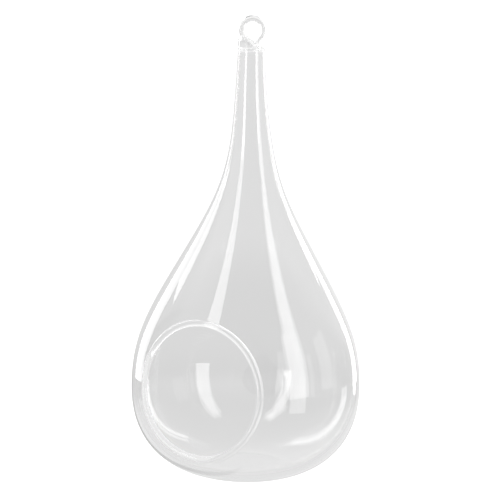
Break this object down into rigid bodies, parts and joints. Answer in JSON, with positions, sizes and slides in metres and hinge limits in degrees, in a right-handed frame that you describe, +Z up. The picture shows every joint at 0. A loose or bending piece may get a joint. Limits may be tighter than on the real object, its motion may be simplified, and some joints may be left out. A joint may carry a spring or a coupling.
{
  "type": "hanging glass vase",
  "caption": "Clear glass drop-shaped vase with a round side opening, a long drawn neck, a glass hanging eye at its tip and a small flat foot.",
  "frame": {"origin": "centre of the flat foot that the vase stands on", "axes": "+Z up along the neck to the hanging eye, -Y out of the round side opening, +X to the right of someone who looks into it"},
  "size_m": [0.1, 0.0933, 0.2013],
  "materials": {
    "blown_glass": "clear colourless blown borosilicate glass, polished by the flame",
    "rod_glass": "clear colourless solid glass, worked in the flame"
  },
  "bodies": {
    "root": {"blown_body": "blown_glass", "neck_seal": "rod_glass", "hanging_loop": "rod_glass"}
  },
  "joints": []
}
